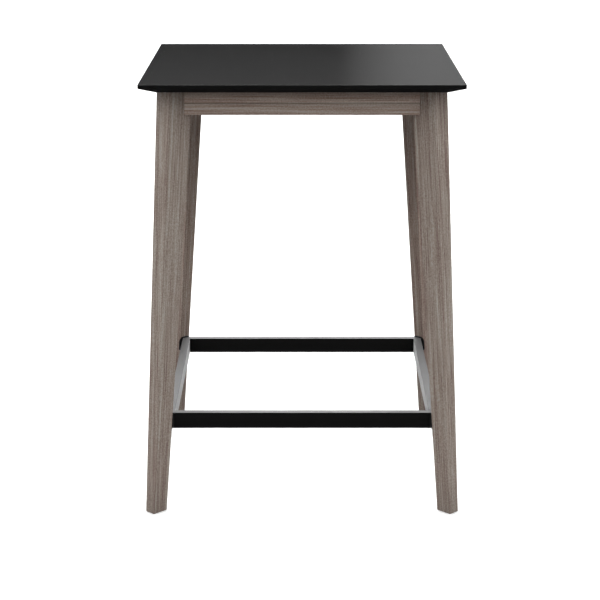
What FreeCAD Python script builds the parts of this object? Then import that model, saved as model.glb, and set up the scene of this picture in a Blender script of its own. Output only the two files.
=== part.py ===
"""Square bar-height table: splayed legs set on the diagonals, aprons and a tube footrest ring.

Millimetres, +Z up. The origin is on the floor, under the centre of the top.
A leg, its bracket, its footrest plate and its glide are drawn along +X, pointing out at the corner,
and turned to their place. The front apron and front footrest tube are drawn in place, along X at -Y.
"""
import FreeCAD, Part
import Sketcher
import os
import re

SIZES = {
    # The top: a square board with an undercut bevel below a thin upright edge.
    "table_height": 1066,
    "top_side": 766,
    "top_thickness": 23,
    "top_edge": 9,
    "top_bevel": 39,
    "top_corner": 3,
    "top_rim": 0.4,
    # The legs: width is across the diagonal, depth is along it.
    "leg_inset": 39,
    "leg_splay": 43.5,
    "leg_width_top": 45,
    "leg_width_foot": 30,
    "leg_depth_top": 74,
    "leg_depth_foot": 43,
    "leg_round": 1.2,
    "leg_chamfer": 0.6,
    # The aprons, with a saw kerf for the clips along the inner face.
    "apron_setback": 32,
    "apron_thickness": 18,
    "apron_height": 59,
    "apron_round": 1.2,
    "apron_blunt": 1.2,
    "kerf_drop": 10,
    "kerf_height": 3,
    "kerf_depth": 9,
    # Clips that hold the top down on the aprons.
    "clip_spread": 300,
    "clip_width": 30,
    "clip_gauge": 2,
    "clip_tongue": 8,
    "clip_flange": 26,
    "clip_screw_radius": 2,
    "clip_screw_head": 4.2,
    "clip_screw_crown": 2.6,
    "clip_screw_length": 15,
    # Bent steel brackets that pull the legs into the aprons.
    "bracket_gap": 9,
    "bracket_gauge": 3,
    "bracket_height": 44,
    "bracket_flange": 36,
    "bracket_bend": 3,
    "bracket_corner": 5,
    "bracket_screw_spacing": 20,
    "bracket_screw_radius": 2,
    "bracket_screw_head": 4,
    "bracket_screw_crown": 2.6,
    "bracket_screw_length": 15,
    # Hanger bolts from the legs through the brackets, with their washers and nuts.
    "bolt_spacing": 22,
    "bolt_radius": 4,
    "bolt_grip": 42,
    "bolt_tail": 5,
    "bolt_chamfer": 1,
    "washer_radius": 8,
    "washer_gauge": 1.6,
    "nut_flats": 13,
    "nut_height": 6.5,
    # The footrest ring of rectangular tube.
    "ring_height": 248,
    "tube_height": 40,
    "tube_width": 20,
    "tube_wall": 1.5,
    "tube_round": 0.8,
    "tube_seat": 15,
    # Plates between the ring and the legs, rounded above and with a narrow screw tab below the tube.
    "plate_width": 40,
    "plate_gauge": 3,
    "plate_overhang": 3,
    "plate_crown": 14,
    "plate_tab": 26,
    "plate_tab_width": 26,
    "plate_corner": 5,
    "plate_screw_spacing": 13,
    "plate_screw_radius": 2.2,
    "plate_screw_head": 4.4,
    "plate_screw_length": 28,
    # Nail-in glides under the feet.
    "glide_stand": 1.5,
    "glide_radius": 10,
    "glide_edge": 0.6,
    "glide_pin_radius": 1.5,
    "glide_pin_length": 14,
    # Room round shanks and past their tips.
    "hole_clearance": 0.2,
    "tip_clearance": 1,
}

VECTOR = FreeCAD.Vector
UP = VECTOR(0, 0, 1)
# In the axes of an upright plane: its own upright, for a turn about the table's axis, and its level.
TURN_AXIS = VECTOR(0, 1, 0)
LEAN_AXIS = VECTOR(1, 0, 0)
FLAT = 1e-4
CORNER_TURNS = {"rear_right": 45, "rear_left": 135, "front_left": 225, "front_right": 315}
SIDE_TURNS = {"front": 0, "right": 90, "rear": 180, "left": 270}
# The two corners that a front piece runs between: on which side of the diagonal it lies, and the turn.
FRONT_CORNERS = {"left": ("", "225"), "right": ("-", "315")}

doc = FreeCAD.newDocument("pub_table")
sheet = doc.addObject("Spreadsheet::Sheet", "Sizes")
for row, (alias, value) in enumerate(SIZES.items(), start=1):
    sheet.set(f"A{row}", str(value))
    sheet.setAlias(f"A{row}", alias)
doc.recompute()

# Heights and distances that several pieces share, as formulas of the sizes.
UNDERSIDE = "(table_height - top_thickness)"
LEG_LENGTH = f"({UNDERSIDE} - glide_stand)"
APRON_FACE = "(top_side / 2 - leg_inset - apron_setback)"
APRON_BACK = f"({APRON_FACE} - apron_thickness)"
APRON_BOTTOM = f"({UNDERSIDE} - apron_height)"
APRON_MIDDLE = f"({UNDERSIDE} - apron_height / 2)"
TUBE_BOTTOM = "(ring_height - tube_height)"
TUBE_MIDDLE = "(ring_height - tube_height / 2)"


def tapered(top, foot, z):
    """A leg's size at height z, straight from its value at the foot to that at the top."""
    return f"({foot} + ({top} - {foot}) * ({z} - glide_stand) / {LEG_LENGTH})"


def leg_width(z):
    return tapered("leg_width_top", "leg_width_foot", z)


def leg_outer(z):
    """Distance of a leg's narrow outer face from the middle of the table, along the diagonal."""
    corner = f"(top_side / 2 - leg_inset + leg_splay * ({UNDERSIDE} - {z}) / {LEG_LENGTH})"
    return f"({corner} * sqrt(2) - {leg_width(z)} / 2)"


def leg_inner(z):
    """Distance of a leg's narrow inner face from the middle of the table, along the diagonal."""
    return f"({leg_outer(z)} - {tapered('leg_depth_top', 'leg_depth_foot', z)})"


LEG_LEAN = f"atan(({leg_inner('glide_stand')} - {leg_inner(UNDERSIDE)}) / {LEG_LENGTH})"
FOOT_CENTRE = f"({leg_outer('glide_stand')} - leg_depth_foot / 2)"
BRACKET_FACE = f"({leg_inner(APRON_MIDDLE)} - bracket_gap)"
BRACKET_BACK = f"({BRACKET_FACE} - bracket_gauge)"
BRACKET_BEND = f"({APRON_BACK} * sqrt(2) - {BRACKET_FACE})"
BRACKET_SCREW = f"(({BRACKET_FACE} - {BRACKET_BEND} - bracket_flange * sqrt(2) / 2) / sqrt(2))"
CLIP_BACK = f"({APRON_BACK} - hole_clearance)"
CLIP_SCREW = f"({CLIP_BACK} - clip_gauge - (clip_flange - clip_gauge) / 2)"


def plate_face(z):
    """Distance of a footrest plate's inner face from the middle of the table, along the diagonal."""
    return f"({leg_inner(z)} - plate_gauge / cos({LEG_LEAN}))"


RING_OUTER = f"(({plate_face(TUBE_MIDDLE)} + tube_seat / 2) / sqrt(2))"
RING_INNER = f"({RING_OUTER} - tube_width)"
PLATE_TOP = "(tube_height / 2 + plate_overhang)"
PLATE_BOTTOM = "(tube_height / 2 + plate_tab)"
PLATE_SCREW = "(tube_height / 2 + plate_tab / 2)"
PLATE_PLACE = ("0", TUBE_MIDDLE, leg_inner(TUBE_MIDDLE))
PLATE_HOLES = [(f"{sign}plate_screw_spacing / 2", f"-{PLATE_SCREW}") for sign in ("", "-")]


def formula(text):
    """The text as an expression: each name with an underscore is a cell of the sheet."""
    return re.sub(r"\b[a-z]+(?:_[a-z]+)+\b", r"Sizes.\g<0>", text)


def bind(thing, name, text):
    thing.setExpression(name, formula(text))


def new_body(label, turn=0):
    """An empty piece, turned about the table's upright axis."""
    body = doc.addObject("PartDesign::Body", label)
    body.Label = label
    body.AllowCompound = True
    body.Placement = FreeCAD.Placement(VECTOR(), FreeCAD.Rotation(UP, turn))
    return body


def origin_feature(body, role):
    return next(feature for feature in body.Origin.OriginFeatures if feature.Role == role)


def new_sketch(body, name, plane, place=("0", "0", "0"), axis=UP, angle="0"):
    """A sketch on one of the body's own planes, moved and turned in that plane's axes."""
    sketch = body.newObject("Sketcher::SketchObject", f"{body.Label}_{name}")
    sketch.AttachmentSupport = [(origin_feature(body, plane), "")]
    sketch.MapMode = "FlatFace"
    sketch.AttachmentOffset = FreeCAD.Placement(VECTOR(), FreeCAD.Rotation(axis, 1))
    bind(sketch, "AttachmentOffset.Rotation.Angle", angle)
    for letter, text in zip("xyz", place):
        bind(sketch, f"AttachmentOffset.Base.{letter}", text)
    return sketch


def pin_point(sketch, curve, end, point):
    """Hold one point of a curve at its two formulas."""
    for kind, axis, text in zip(("DistanceX", "DistanceY"), (-2, -1), point):
        if text == "0":
            sketch.addConstraint(Sketcher.Constraint("PointOnObject", curve, end, axis))
        else:
            index = sketch.addConstraint(Sketcher.Constraint(kind, -1, 1, curve, end, 1))
            bind(sketch, f"Constraints[{index}]", text)


def draw_polygon(sketch, points):
    """A closed outline of straight lines through the points, which are pairs of formulas."""
    first = sketch.GeometryCount
    count = len(points)
    ring = [FreeCAD.Rotation(UP, 360 * step / count).multVec(VECTOR(100, 0, 0)) for step in range(count)]
    for step in range(count):
        sketch.addGeometry(Part.LineSegment(ring[step], ring[(step + 1) % count]), False)
    for step in range(count):
        following = first + (step + 1) % count
        sketch.addConstraint(Sketcher.Constraint("Coincident", first + step, 2, following, 1))
    for step, point in enumerate(points):
        pin_point(sketch, first + step, 1, point)


def draw_circles(sketch, centres, radius):
    for centre in centres:
        circle = sketch.addGeometry(Part.Circle(VECTOR(1, 1, 0), UP, 1), False)
        pin_point(sketch, circle, 3, centre)
        index = sketch.addConstraint(Sketcher.Constraint("Radius", circle, 1))
        bind(sketch, f"Constraints[{index}]", radius)


def pad(body, sketch, length, reverse=False, middle=False):
    feature = body.newObject("PartDesign::Pad", f"{sketch.Name}_pad")
    feature.Profile = sketch
    feature.Reversed = reverse
    feature.Midplane = middle
    bind(feature, "Length", length)
    doc.recompute()
    return feature


def pocket(body, sketch, length=None, one_way=False):
    """Cut along the sketch's normal by a length, or without one right through, one way or both."""
    before = body.Shape.Volume
    feature = body.newObject("PartDesign::Pocket", f"{sketch.Name}_cut")
    feature.Profile = sketch
    if length is None:
        feature.Type = "ThroughAll"
        feature.Midplane = not one_way
        feature.Reversed = one_way
    else:
        feature.Reversed = True
        bind(feature, "Length", length)
    doc.recompute()
    if body.Shape.Volume >= before:
        raise RuntimeError(f"{feature.Name} cuts nothing")
    return feature


def turned(body, sketch, axis):
    """Turn a half profile about the sketch's own axis."""
    feature = body.newObject("PartDesign::Revolution", f"{sketch.Name}_turned")
    feature.Profile = sketch
    feature.ReferenceAxis = (sketch, [axis])
    feature.Angle = 360
    doc.recompute()
    return feature


def dress(body, kind, name, base, chosen, size):
    """A Fillet or Chamfer on the edges of the base feature that pass the test."""
    edges = [f"Edge{index}" for index, edge in enumerate(base.Shape.Edges, 1) if chosen(edge)]
    feature = body.newObject(f"PartDesign::{kind}", f"{body.Label}_{name}")
    feature.Base = (base, edges)
    bind(feature, "Radius" if kind == "Fillet" else "Size", size)
    doc.recompute()
    return feature


def repeat(body, originals, rise=None, mirror=None):
    """Copy features up by a rise, across one of the body's planes, and to the table's four sides."""
    steps = []
    if rise:
        up = body.newObject("PartDesign::LinearPattern", f"{body.Label}_pair")
        up.Direction = (origin_feature(body, "Z_Axis"), [""])
        up.Occurrences = 2
        bind(up, "Length", rise)
        steps.append(up)
    if mirror:
        across = body.newObject("PartDesign::Mirrored", f"{body.Label}_across")
        across.MirrorPlane = (origin_feature(body, mirror), [""])
        steps.append(across)
    around = body.newObject("PartDesign::PolarPattern", f"{body.Label}_around")
    around.Axis = (origin_feature(body, "Z_Axis"), [""])
    around.Angle = 360
    around.Occurrences = 4
    steps.append(around)
    whole = body.newObject("PartDesign::MultiTransform", f"{body.Label}_all")
    whole.Originals = originals
    whole.Transformations = steps
    body.Tip = whole
    doc.recompute()
    return body


def both_sides(text):
    return (text, f"-{text}")


def make_top():
    """The board, with its edge undercut along both directions and pilot holes below."""
    body = new_body("table_top")
    half = "(top_side / 2)"
    plan = new_sketch(body, "plan", "XY_Plane", ("0", "0", UNDERSIDE))
    draw_polygon(plan, [(f"-{half}", f"-{half}"), (half, f"-{half}"), (half, half), (f"-{half}", half)])
    board = pad(body, plan, "top_thickness")
    upright = board.Shape.BoundBox.ZLength - FLAT
    highest = board.Shape.BoundBox.ZMax
    dress(body, "Fillet", "corners", board, lambda edge: edge.BoundBox.ZLength > upright, "top_corner")
    for name, plane in (("bevel_across", "XZ_Plane"), ("bevel_along", "YZ_Plane")):
        bevel = new_sketch(body, name, plane, ("0", UNDERSIDE, "0"))
        for sign in ("", "-"):
            draw_polygon(bevel, [(f"{sign}(top_side / 2 - top_bevel)", "0"), (f"{sign}{half}", "0"),
                                 (f"{sign}{half}", "top_thickness - top_edge")])
        cut = pocket(body, bevel)
    dress(body, "Fillet", "rim", cut, lambda edge: edge.BoundBox.ZMin > highest - FLAT, "top_rim")
    pilots = new_sketch(body, "pilots", "XY_Plane", ("0", "0", UNDERSIDE))
    draw_circles(pilots, [(across, f"-{CLIP_SCREW}") for across in both_sides("(clip_spread / 2)")],
                 "(clip_screw_radius + hole_clearance)")
    holes = pocket(body, pilots, "clip_screw_length - clip_gauge + tip_clearance")
    return repeat(body, [holes])


def make_leg(corner, turn):
    """A leg: its leaning side view padded, its sides tapered, its edges eased, and its holes."""
    body = new_body(f"leg_{corner}", turn)
    side_view = new_sketch(body, "side_view", "XZ_Plane")
    draw_polygon(side_view, [(leg_inner("glide_stand"), "glide_stand"),
                             (leg_outer("glide_stand"), "glide_stand"),
                             (leg_outer(UNDERSIDE), UNDERSIDE), (leg_inner(UNDERSIDE), UNDERSIDE)])
    pad(body, side_view, "leg_width_top + leg_width_foot", middle=True)
    sides = new_sketch(body, "sides", "YZ_Plane")
    blank = "((leg_width_top + leg_width_foot) / 2)"
    for sign in ("", "-"):
        draw_polygon(sides, [(f"{sign}leg_width_foot / 2", "glide_stand"), (f"{sign}{blank}", "glide_stand"),
                             (f"{sign}{blank}", UNDERSIDE), (f"{sign}leg_width_top / 2", UNDERSIDE)])
    post = pocket(body, sides)
    height = post.Shape.BoundBox.ZLength
    lowest = post.Shape.BoundBox.ZMin
    eased = dress(body, "Fillet", "eased", post, lambda edge: edge.BoundBox.ZLength > height / 2, "leg_round")
    dress(body, "Chamfer", "foot_edge", eased, lambda edge: edge.BoundBox.ZMax < lowest + FLAT, "leg_chamfer")
    bolts = new_sketch(body, "bolt_holes", "YZ_Plane", ("0", APRON_MIDDLE, BRACKET_FACE))
    draw_circles(bolts, [("0", level) for level in both_sides("(bolt_spacing / 2)")],
                 "(bolt_radius + hole_clearance)")
    pocket(body, bolts, "bracket_gap + bolt_grip + tip_clearance")
    screws = new_sketch(body, "screw_holes", "YZ_Plane", PLATE_PLACE, LEAN_AXIS, f"-{LEG_LEAN}")
    draw_circles(screws, PLATE_HOLES, "(plate_screw_radius + hole_clearance)")
    pocket(body, screws, "plate_screw_length - plate_gauge + tip_clearance")
    nail = new_sketch(body, "glide_hole", "XY_Plane", (FOOT_CENTRE, "0", "glide_stand"))
    draw_circles(nail, [("0", "0")], "(glide_pin_radius + hole_clearance)")
    pocket(body, nail, "glide_pin_length + tip_clearance")
    return body


def make_glide(corner, turn):
    """A button with a turned-up edge, on a nail driven into the foot."""
    body = new_body(f"glide_{corner}", turn)
    profile = new_sketch(body, "profile", "XZ_Plane", (FOOT_CENTRE, "0", "0"))
    tip = "(glide_stand + glide_pin_length)"
    draw_polygon(profile, [("0", "0"), ("glide_radius - glide_edge", "0"), ("glide_radius", "glide_edge"),
                           ("glide_radius", "glide_stand"), ("glide_pin_radius", "glide_stand"),
                           ("glide_pin_radius", f"{tip} - glide_pin_radius * 2"), ("0", tip)])
    turned(body, profile, "V_Axis")
    return body


def make_apron(side, turn):
    """A rail with the kerf and pilot holes inside. Its ends are scribed to the legs' side faces, and the
    sharp front edge that this would leave is cut back."""
    body = new_body(f"apron_{side}", turn)
    section = new_sketch(body, "section", "YZ_Plane")
    draw_polygon(section, [(f"-{APRON_FACE}", APRON_BOTTOM), (f"-{APRON_BACK}", APRON_BOTTOM),
                           (f"-{APRON_BACK}", UNDERSIDE), (f"-{APRON_FACE}", UNDERSIDE)])
    reach = f"({APRON_FACE} - {leg_width(UNDERSIDE)} / sqrt(2) - apron_blunt)"
    rail = pad(body, section, f"{reach} * 2", middle=True)
    box = rail.Shape.BoundBox
    dress(body, "Fillet", "eased", rail,
          lambda edge: edge.BoundBox.ZMax < box.ZMin + FLAT and edge.BoundBox.XLength > box.XLength / 2,
          "apron_round")
    for name, (sign, angle) in FRONT_CORNERS.items():
        scribe = new_sketch(body, f"{name}_end", "YZ_Plane", axis=TURN_AXIS, angle=angle)
        draw_polygon(scribe, [(f"{sign}{leg_width(APRON_BOTTOM)} / 2", APRON_BOTTOM),
                              (f"{sign}{leg_width(UNDERSIDE)} / 2", UNDERSIDE),
                              (f"-({sign}apron_thickness)", UNDERSIDE),
                              (f"-({sign}apron_thickness)", APRON_BOTTOM)])
        pocket(body, scribe, one_way=True)
    kerf = new_sketch(body, "kerf", "YZ_Plane", (f"-{APRON_BACK}", f"{UNDERSIDE} - kerf_drop", "0"))
    draw_polygon(kerf, [("0", "0"), ("-kerf_depth", "0"), ("-kerf_depth", "-kerf_height"),
                        ("0", "-kerf_height")])
    pocket(body, kerf)
    pilots = new_sketch(body, "pilots", "XZ_Plane", ("0", APRON_MIDDLE, APRON_BACK))
    draw_circles(pilots, [(across, level) for across in both_sides(BRACKET_SCREW)
                          for level in both_sides("(bracket_screw_spacing / 2)")],
                 "(bracket_screw_radius + hole_clearance)")
    pocket(body, pilots, "bracket_screw_length - bracket_gauge + tip_clearance")
    return body


def make_bracket(corner, turn):
    """A strip bent twice: its flanges lie on the two aprons and its middle faces the leg."""
    body = new_body(f"corner_bracket_{corner}", turn)
    plan = new_sketch(body, "plan", "XY_Plane", ("0", "0", APRON_MIDDLE))
    run = "bracket_flange / sqrt(2)"
    skin = "bracket_gauge / sqrt(2)"
    half = [(BRACKET_FACE, BRACKET_BEND),
            (f"{BRACKET_FACE} - {run}", f"({BRACKET_BEND} + {run})"),
            (f"{BRACKET_FACE} - {run} - {skin}", f"({BRACKET_BEND} + {run} - {skin})"),
            (BRACKET_BACK, f"({BRACKET_BEND} - bracket_gauge * (sqrt(2) - 1))")]
    draw_polygon(plan, half + [(x, f"-{y}") for x, y in reversed(half)])
    strip = pad(body, plan, "bracket_height", middle=True)
    face = strip.Shape.BoundBox.XMax
    back = face - sheet.bracket_gauge
    upright = strip.Shape.BoundBox.ZLength - FLAT
    inside = dress(body, "Fillet", "inner_bends", strip,
                   lambda edge: edge.BoundBox.ZLength > upright and abs(edge.BoundBox.XMax - back) < FLAT,
                   "bracket_bend")
    bent = dress(body, "Fillet", "outer_bends", inside,
                 lambda edge: edge.BoundBox.ZLength > upright and edge.BoundBox.XMax > face - FLAT,
                 "bracket_bend + bracket_gauge")
    ends = bent.Shape.BoundBox.XMin + sheet.bracket_gauge
    dress(body, "Fillet", "corners", bent,
          lambda edge: edge.BoundBox.ZLength < FLAT and edge.BoundBox.XMax < ends, "bracket_corner")
    bolts = new_sketch(body, "bolt_holes", "YZ_Plane", ("0", APRON_MIDDLE, BRACKET_BACK))
    draw_circles(bolts, [("0", level) for level in both_sides("(bolt_spacing / 2)")],
                 "(bolt_radius + hole_clearance)")
    pocket(body, bolts)
    for name, sign, angle in (("left_holes", "-", "45"), ("right_holes", "", "-45")):
        screws = new_sketch(body, name, "YZ_Plane", ("0", APRON_MIDDLE, "0"), TURN_AXIS, angle)
        draw_circles(screws, [(f"{sign}{BRACKET_SCREW}", level)
                              for level in both_sides("(bracket_screw_spacing / 2)")],
                     "(bracket_screw_radius + hole_clearance)")
        pocket(body, screws)
    return body


def make_footrest(side, turn):
    """A rectangular tube, mitred on the diagonals and cut flat where its corners meet the plates."""
    body = new_body(f"footrest_{side}", turn)
    section = new_sketch(body, "section", "YZ_Plane")
    for inset in ("0", "tube_wall"):
        outer, inner = f"-({RING_OUTER} - {inset})", f"-({RING_INNER} + {inset})"
        low, high = f"{TUBE_BOTTOM} + {inset}", f"ring_height - {inset}"
        draw_polygon(section, [(outer, low), (inner, low), (inner, high), (outer, high)])
    tube = pad(body, section, f"{RING_OUTER} * 2", middle=True)
    box = tube.Shape.BoundBox

    def outer_edge(edge):
        """True on the tube's four long outer edges."""
        reach = edge.BoundBox
        outside = reach.YMax < box.YMin + FLAT or reach.YMin > box.YMax - FLAT
        return outside and reach.XLength > box.XLength / 2

    dress(body, "Fillet", "eased", tube, outer_edge, "tube_round")
    mitres = new_sketch(body, "mitres", "XY_Plane")
    far, near = f"({RING_OUTER} + tube_width)", f"({RING_INNER} - tube_width)"
    for sign in ("", "-"):
        draw_polygon(mitres, [(f"{sign}{far}", f"-{far}"), (f"{sign}{near}", f"-{near}"),
                              (f"{sign}{far}", f"-{near}")])
    pocket(body, mitres)
    for name, (_, angle) in FRONT_CORNERS.items():
        seat = new_sketch(body, f"{name}_seat", "XZ_Plane", axis=TURN_AXIS, angle=angle)
        tip = f"({RING_OUTER} * sqrt(2) + tube_width)"
        draw_polygon(seat, [(plate_face(TUBE_BOTTOM), TUBE_BOTTOM), (tip, TUBE_BOTTOM),
                            (tip, "ring_height"), (plate_face("ring_height"), "ring_height")])
        pocket(body, seat)
    return body


def make_plate(corner, turn):
    """A plate lying on the leg's leaning inner face, welded to the ring and screwed on below it."""
    body = new_body(f"footrest_plate_{corner}", turn)
    face = new_sketch(body, "face", "YZ_Plane", PLATE_PLACE, LEAN_AXIS, f"-{LEG_LEAN}")
    half, tab, waist = "(plate_width / 2)", "(plate_tab_width / 2)", "(tube_height / 2)"
    shoulder = f"({waist} - {half} + {tab})"
    right = [(tab, f"-{PLATE_BOTTOM}"), (tab, f"-{waist}"), (half, f"-{shoulder}"), (half, PLATE_TOP)]
    draw_polygon(face, right + [(f"-{across}", level) for across, level in reversed(right)])
    blank = pad(body, face, "plate_gauge", reverse=True)
    gauge, ring_height = sheet.plate_gauge + FLAT, sheet.ring_height
    crown = dress(body, "Fillet", "crown", blank,
                  lambda edge: edge.Length < gauge and edge.BoundBox.ZMin > ring_height, "plate_crown")
    dress(body, "Fillet", "corners", crown,
          lambda edge: edge.Length < gauge and edge.BoundBox.ZMax < ring_height, "plate_corner")
    screws = new_sketch(body, "screw_holes", "YZ_Plane", PLATE_PLACE, LEAN_AXIS, f"-{LEG_LEAN}")
    draw_circles(screws, PLATE_HOLES, "(plate_screw_radius + hole_clearance)")
    holes = pocket(body, screws)
    bore = sheet.plate_screw_radius + sheet.hole_clearance + FLAT
    rims = [edge.Curve for edge in holes.Shape.Edges if edge.Curve.TypeId == "Part::GeomCircle"]
    depths = [rim.Center.x for rim in rims if rim.Radius < bore]
    middle = sum(depths) / len(depths)

    def inner_rim(edge):
        """True on the rims of the holes that face the middle of the table."""
        rim = edge.Curve
        return rim.TypeId == "Part::GeomCircle" and rim.Radius < bore and rim.Center.x < middle

    dress(body, "Chamfer", "countersinks", holes, inner_rim, "plate_screw_head - plate_screw_radius")
    return body


def pan_head(radius, head, crown, length):
    """Half profile of a pan head screw as (radius, reach) pairs: head below 0, shank above."""
    return [("0", f"-{crown}"), (f"{head} - {crown} / 2", f"-{crown}"), (head, f"-{crown} / 2"),
            (head, "0"), (radius, "0"), (radius, f"({length} - {radius} * 2)"), ("0", length)]


def make_clips():
    """Bent clips: a tongue in the apron's kerf, a riser, and a flange screwed up under the top."""
    body = new_body("top_clips")
    section = new_sketch(body, "section", "YZ_Plane", (f"-{CLIP_BACK}", UNDERSIDE, "clip_spread / 2"))
    draw_polygon(section, [("-clip_tongue", "-kerf_drop"), ("0", "-kerf_drop"), ("0", "0"),
                           ("clip_flange", "0"), ("clip_flange", "-clip_gauge"),
                           ("clip_gauge", "-clip_gauge"), ("clip_gauge", "-kerf_drop - clip_gauge"),
                           ("-clip_tongue", "-kerf_drop - clip_gauge")])
    strip = pad(body, section, "clip_width", middle=True)
    place = ("clip_spread / 2", f"-{CLIP_SCREW}", f"{UNDERSIDE} - clip_gauge")
    hole = new_sketch(body, "hole", "XY_Plane", place)
    draw_circles(hole, [("0", "0")], "(clip_screw_radius + hole_clearance)")
    return repeat(body, [strip, pocket(body, hole, "clip_gauge")], mirror="YZ_Plane")


def make_clip_screws():
    body = new_body("top_clip_screws")
    place = (f"-{CLIP_SCREW}", f"{UNDERSIDE} - clip_gauge", "clip_spread / 2")
    profile = new_sketch(body, "profile", "YZ_Plane", place)
    draw_polygon(profile, pan_head("clip_screw_radius", "clip_screw_head", "clip_screw_crown",
                                   "clip_screw_length"))
    return repeat(body, [turned(body, profile, "V_Axis")], mirror="YZ_Plane")


def make_bracket_screws():
    body = new_body("bracket_screws")
    place = (f"-({APRON_BACK} - bracket_gauge)", f"{APRON_MIDDLE} - bracket_screw_spacing / 2", BRACKET_SCREW)
    profile = new_sketch(body, "profile", "YZ_Plane", place)
    half = pan_head("bracket_screw_radius", "bracket_screw_head", "bracket_screw_crown",
                    "bracket_screw_length")
    draw_polygon(profile, [(f"-({reach})" if reach != "0" else "0", radius) for radius, reach in half])
    return repeat(body, [turned(body, profile, "H_Axis")], "bracket_screw_spacing", "YZ_Plane")


def make_leg_bolts():
    """Hanger bolts: a pointed end in the leg and a chamfered end past the nut."""
    body = new_body("leg_bolts", CORNER_TURNS["rear_right"])
    profile = new_sketch(body, "profile", "XZ_Plane", ("0", f"{APRON_MIDDLE} - bolt_spacing / 2", "0"))
    tail = f"({BRACKET_BACK} - washer_gauge - nut_height - bolt_tail)"
    tip = f"({leg_inner(APRON_MIDDLE)} + bolt_grip)"
    draw_polygon(profile, [(tail, "0"), (tip, "0"), (f"{tip} - bolt_radius", "bolt_radius"),
                           (f"{tail} + bolt_chamfer", "bolt_radius"), (tail, "bolt_radius - bolt_chamfer")])
    return repeat(body, [turned(body, profile, "H_Axis")], "bolt_spacing")


def make_leg_bolt_washers():
    body = new_body("leg_bolt_washers", CORNER_TURNS["rear_right"])
    rings = new_sketch(body, "rings", "YZ_Plane", ("0", f"{APRON_MIDDLE} - bolt_spacing / 2", BRACKET_BACK))
    for radius in ("washer_radius", "(bolt_radius + hole_clearance)"):
        draw_circles(rings, [("0", "0")], radius)
    return repeat(body, [pad(body, rings, "washer_gauge", reverse=True)], "bolt_spacing")


def make_leg_bolt_nuts():
    body = new_body("leg_bolt_nuts", CORNER_TURNS["rear_right"])
    seat = f"{BRACKET_BACK} - washer_gauge"
    hexagon = new_sketch(body, "hexagon", "YZ_Plane", ("0", f"{APRON_MIDDLE} - bolt_spacing / 2", seat))
    flat, point, side = "(nut_flats / 2)", "(nut_flats / sqrt(3))", "(nut_flats / sqrt(12))"
    draw_polygon(hexagon, [(flat, side), ("0", point), (f"-{flat}", side),
                           (f"-{flat}", f"-{side}"), ("0", f"-{point}"), (flat, f"-{side}")])
    draw_circles(hexagon, [("0", "0")], "(bolt_radius + hole_clearance)")
    return repeat(body, [pad(body, hexagon, "nut_height", reverse=True)], "bolt_spacing")


def make_footrest_screws():
    """Countersunk screws, square to the leaning plates."""
    body = new_body("footrest_screws", CORNER_TURNS["rear_right"])
    level = f"{TUBE_MIDDLE} - {PLATE_SCREW} * cos({LEG_LEAN}) - plate_gauge * sin({LEG_LEAN})"
    reach = f"{leg_inner(TUBE_MIDDLE)} + {PLATE_SCREW} * sin({LEG_LEAN}) - plate_gauge * cos({LEG_LEAN})"
    profile = new_sketch(body, "profile", "XZ_Plane", (reach, level, "plate_screw_spacing / 2"),
                         angle=LEG_LEAN)
    sink = "plate_screw_head - plate_screw_radius"
    draw_polygon(profile, [("0", "0"), ("plate_screw_length", "0"),
                           ("plate_screw_length - plate_screw_radius * 2", "plate_screw_radius"),
                           (sink, "plate_screw_radius"), ("0", "plate_screw_head")])
    return repeat(body, [turned(body, profile, "H_Axis")], mirror="XZ_Plane")


pieces = [make_top(), make_clips(), make_clip_screws(), make_bracket_screws(), make_leg_bolts(),
          make_leg_bolt_washers(), make_leg_bolt_nuts(), make_footrest_screws()]
for make_piece in (make_leg, make_glide, make_bracket, make_plate):
    pieces += [make_piece(corner, turn) for corner, turn in CORNER_TURNS.items()]
for make_piece in (make_apron, make_footrest):
    pieces += [make_piece(side, turn) for side, turn in SIDE_TURNS.items()]
doc.recompute()

for thing in doc.Objects:
    if "Invalid" in thing.State or "Error" in thing.State:
        raise RuntimeError(f"{thing.Label} failed: {thing.State}")
for piece in pieces:
    if piece.Shape.isNull() or not piece.Shape.isValid() or not piece.Shape.Solids:
        raise RuntimeError(f"{piece.Label} has no sound shape")

os.makedirs("parts", exist_ok=True)
for piece in pieces:
    piece.Shape.exportStep(f"parts/{piece.Label}.step")
    print(piece.Label, len(piece.Shape.Solids), round(piece.Shape.Volume))
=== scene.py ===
# %% [markdown]
# # A bar-height pub table
# The table is a square black board on four grey-brown wooden legs, which stand on the diagonals
# and lean outwards. Four aprons join the legs under the board, and a ring of black steel tube
# ties them together near the floor as a footrest.
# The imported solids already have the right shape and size, so this lesson keeps them and gives
# them finishes. It makes new surfaces only for what a plain solid lacks: threads, drive recesses,
# bent clips, domed glides and weld beads.

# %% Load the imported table
import math

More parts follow.
